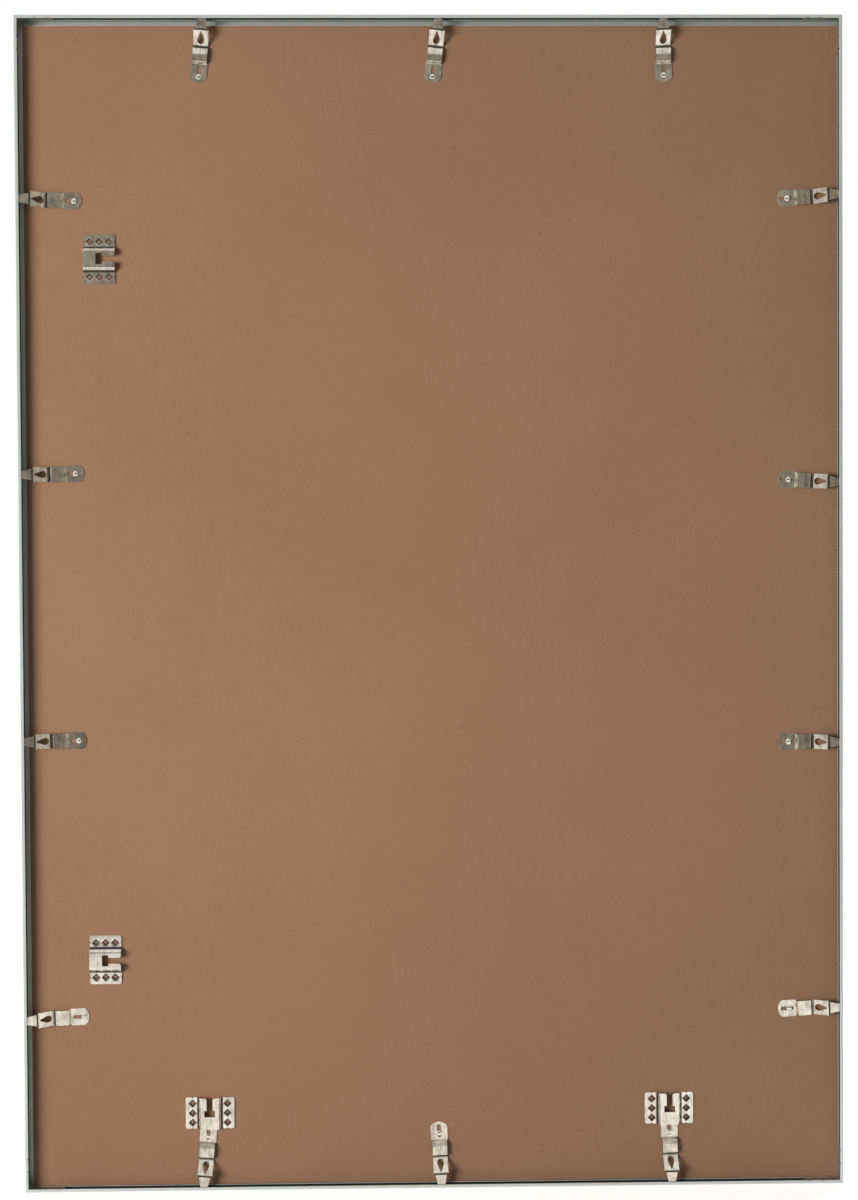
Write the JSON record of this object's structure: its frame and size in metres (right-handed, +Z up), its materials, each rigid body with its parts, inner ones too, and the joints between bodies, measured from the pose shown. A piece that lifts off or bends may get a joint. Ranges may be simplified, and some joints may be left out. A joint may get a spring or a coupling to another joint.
{
  "type": "picture frame with sprung clips",
  "caption": "Upright aluminium picture frame, seen from its back: mitred rails, glass, blank sheet and hardboard held in by swivelling spring clips, with stamped hangers.",
  "frame": {"origin": "middle of the outline, in the plane of the rear rim that lies on the wall", "axes": "+Z up along the long side as pictured, +X right as seen from behind, and the glass faces +Y"},
  "size_m": [0.706, 0.017, 1.006],
  "materials": {
    "frame_aluminium": "satin anodised extrusion, pale greenish grey",
    "bracket_steel": "dull zinc plate, dark in the channel",
    "clear_glass": "clear float glass with faintly green edges",
    "white_card": "plain white card, unprinted",
    "hardboard": "smooth brown hardboard with a faint fibre mottle",
    "spring_steel": "bright nickel-plated spring steel",
    "rivet_steel": "bright plated steel, domed head",
    "hanger_steel": "bright zinc-plated sheet steel, stamped"
  },
  "bodies": {
    "frame": {"rail_top": "frame_aluminium", "rail_bottom": "frame_aluminium", "rail_left": "frame_aluminium", "rail_right": "frame_aluminium", "corner_bracket_top_left": "bracket_steel", "corner_bracket_top_right": "bracket_steel", "corner_bracket_bottom_left": "bracket_steel", "corner_bracket_bottom_right": "bracket_steel", "glass": "clear_glass", "blank_sheet": "white_card", "back_board": "hardboard", "hanger_left_upper": "hanger_steel", "hanger_left_lower": "hanger_steel", "hanger_bottom_left": "hanger_steel", "hanger_bottom_right": "hanger_steel"},
    "rivet_top_left": {"rivet_top_left": "rivet_steel"},
    "clip_top_left": {"clip_top_left": "spring_steel"},
    "rivet_top_middle": {"rivet_top_middle": "rivet_steel"},
    "clip_top_middle": {"clip_top_middle": "spring_steel"},
    "rivet_top_right": {"rivet_top_right": "rivet_steel"},
    "clip_top_right": {"clip_top_right": "spring_steel"},
    "rivet_bottom_left": {"rivet_bottom_left": "rivet_steel"},
    "clip_bottom_left": {"clip_bottom_left": "spring_steel"},
    "rivet_bottom_middle": {"rivet_bottom_middle": "rivet_steel"},
    "clip_bottom_middle": {"clip_bottom_middle": "spring_steel"},
    "rivet_bottom_right": {"rivet_bottom_right": "rivet_steel"},
    "clip_bottom_right": {"clip_bottom_right": "spring_steel"},
    "rivet_left_1": {"rivet_left_1": "rivet_steel"},
    "clip_left_1": {"clip_left_1": "spring_steel"},
    "rivet_left_2": {"rivet_left_2": "rivet_steel"},
    "clip_left_2": {"clip_left_2": "spring_steel"},
    "rivet_left_3": {"rivet_left_3": "rivet_steel"},
    "clip_left_3": {"clip_left_3": "spring_steel"},
    "rivet_left_4": {"rivet_left_4": "rivet_steel"},
    "clip_left_4": {"clip_left_4": "spring_steel"},
    "rivet_right_1": {"rivet_right_1": "rivet_steel"},
    "clip_right_1": {"clip_right_1": "spring_steel"},
    "rivet_right_2": {"rivet_right_2": "rivet_steel"},
    "clip_right_2": {"clip_right_2": "spring_steel"},
    "rivet_right_3": {"rivet_right_3": "rivet_steel"},
    "clip_right_3": {"clip_right_3": "spring_steel"},
    "rivet_right_4": {"rivet_right_4": "rivet_steel"},
    "clip_right_4": {"clip_right_4": "spring_steel"}
  },
  "joints": [
    {"name": "clip_top_left_swivel", "type": "hinge", "parent": "frame", "child": "rivet_top_left", "pos_m": [-0.19775, 0.0103, 0.45308], "axis": [0, -1, 0], "range_deg": [-80, 80]},
    {"name": "clip_top_left_slide", "type": "slide", "parent": "rivet_top_left", "child": "clip_top_left", "axis": [-0.0889, 0, -0.996], "range_m": [0, 0.00728]},
    {"name": "clip_top_middle_swivel", "type": "hinge", "parent": "frame", "child": "rivet_top_middle", "pos_m": [0.00245, 0.0103, 0.45313], "axis": [0, -1, 0], "range_deg": [-80, 80]},
    {"name": "clip_top_middle_slide", "type": "slide", "parent": "rivet_top_middle", "child": "clip_top_middle", "axis": [-0.1115, 0, -0.9938], "range_m": [0, 0.00728]},
    {"name": "clip_top_right_swivel", "type": "hinge", "parent": "frame", "child": "rivet_top_right", "pos_m": [0.20125, 0.0103, 0.45438], "axis": [0, -1, 0], "range_deg": [-80, 80]},
    {"name": "clip_top_right_slide", "type": "slide", "parent": "rivet_top_right", "child": "clip_top_right", "axis": [0.0349, 0, -0.9994], "range_m": [0, 0.00599]},
    {"name": "clip_bottom_left_swivel", "type": "hinge", "parent": "frame", "child": "rivet_bottom_left", "pos_m": [-0.1967, 0.0103, -0.45889], "axis": [0, -1, 0], "range_deg": [-80, 10]},
    {"name": "clip_bottom_left_slide", "type": "slide", "parent": "rivet_bottom_left", "child": "clip_bottom_left", "axis": [0.0785, 0, 0.9969], "range_m": [0, 0.00145]},
    {"name": "clip_bottom_middle_swivel", "type": "hinge", "parent": "frame", "child": "rivet_bottom_middle", "pos_m": [0.00315, 0.0103, -0.4585], "axis": [0, -1, 0], "range_deg": [-80, 80]},
    {"name": "clip_bottom_middle_slide", "type": "slide", "parent": "rivet_bottom_middle", "child": "clip_bottom_middle", "axis": [-0.0401, 0, 0.9992], "range_m": [0, 0.00186]},
    {"name": "clip_bottom_right_swivel", "type": "hinge", "parent": "frame", "child": "rivet_bottom_right", "pos_m": [0.20335, 0.0103, -0.45932], "axis": [0, -1, 0], "range_deg": [-80, 80]},
    {"name": "clip_bottom_right_slide", "type": "slide", "parent": "rivet_bottom_right", "child": "clip_bottom_right", "axis": [-0.0314, 0, 0.9995], "range_m": [0, 0.00105]},
    {"name": "clip_left_1_swivel", "type": "hinge", "parent": "frame", "child": "rivet_left_1", "pos_m": [-0.30515, 0.0103, 0.3475], "axis": [0, -1, 0], "range_deg": [-80, 80]},
    {"name": "clip_left_1_slide", "type": "slide", "parent": "rivet_left_1", "child": "clip_left_1", "axis": [0.9999, 0, -0.014], "range_m": [0, 0.00526]},
    {"name": "clip_left_2_swivel", "type": "hinge", "parent": "frame", "child": "rivet_left_2", "pos_m": [-0.30601, 0.0103, 0.1145], "axis": [0, -1, 0], "range_deg": [-80, 80]},
    {"name": "clip_left_2_slide", "type": "slide", "parent": "rivet_left_2", "child": "clip_left_2", "axis": [0.9996, 0, 0.0279], "range_m": [0, 0.00437]},
    {"name": "clip_left_3_swivel", "type": "hinge", "parent": "frame", "child": "rivet_left_3", "pos_m": [-0.30517, 0.0103, -0.115], "axis": [0, -1, 0], "range_deg": [-80, 80]},
    {"name": "clip_left_3_slide", "type": "slide", "parent": "rivet_left_3", "child": "clip_left_3", "axis": [1, 0, 0.0035], "range_m": [0, 0.00526]},
    {"name": "clip_left_4_swivel", "type": "hinge", "parent": "frame", "child": "rivet_left_4", "pos_m": [-0.3026, 0.0103, -0.3535], "axis": [0, -1, 0], "range_deg": [-80, 80]},
    {"name": "clip_left_4_slide", "type": "slide", "parent": "rivet_left_4", "child": "clip_left_4", "axis": [0.9994, 0, 0.0349], "range_m": [0, 0.00777]},
    {"name": "clip_right_1_swivel", "type": "hinge", "parent": "frame", "child": "rivet_right_1", "pos_m": [0.30744, 0.0103, 0.3485], "axis": [0, -1, 0], "range_deg": [-80, 80]},
    {"name": "clip_right_1_slide", "type": "slide", "parent": "rivet_right_1", "child": "clip_right_1", "axis": [-0.9988, 0, -0.0489], "range_m": [0, 0.00291]},
    {"name": "clip_right_2_swivel", "type": "hinge", "parent": "frame", "child": "rivet_right_2", "pos_m": [0.30824, 0.0103, 0.1065], "axis": [0, -1, 0], "range_deg": [-80, 80]},
    {"name": "clip_right_2_slide", "type": "slide", "parent": "rivet_right_2", "child": "clip_right_2", "axis": [-0.9979, 0, 0.0645], "range_m": [0, 0.0021]},
    {"name": "clip_right_3_swivel", "type": "hinge", "parent": "frame", "child": "rivet_right_3", "pos_m": [0.30784, 0.0103, -0.1205], "axis": [0, -1, 0], "range_deg": [-80, 80]},
    {"name": "clip_right_3_slide", "type": "slide", "parent": "rivet_right_3", "child": "clip_right_3", "axis": [-1, 0, -0.0052], "range_m": [0, 0.00259]},
    {"name": "clip_right_4_swivel", "type": "hinge", "parent": "frame", "child": "rivet_right_4", "pos_m": [0.30825, 0.0103, -0.3525], "axis": [0, -1, 0], "range_deg": [-80, 80]},
    {"name": "clip_right_4_slide", "type": "slide", "parent": "rivet_right_4", "child": "clip_right_4", "axis": [-0.9986, 0, -0.0523], "range_m": [0, 0.0021]}
  ]
}
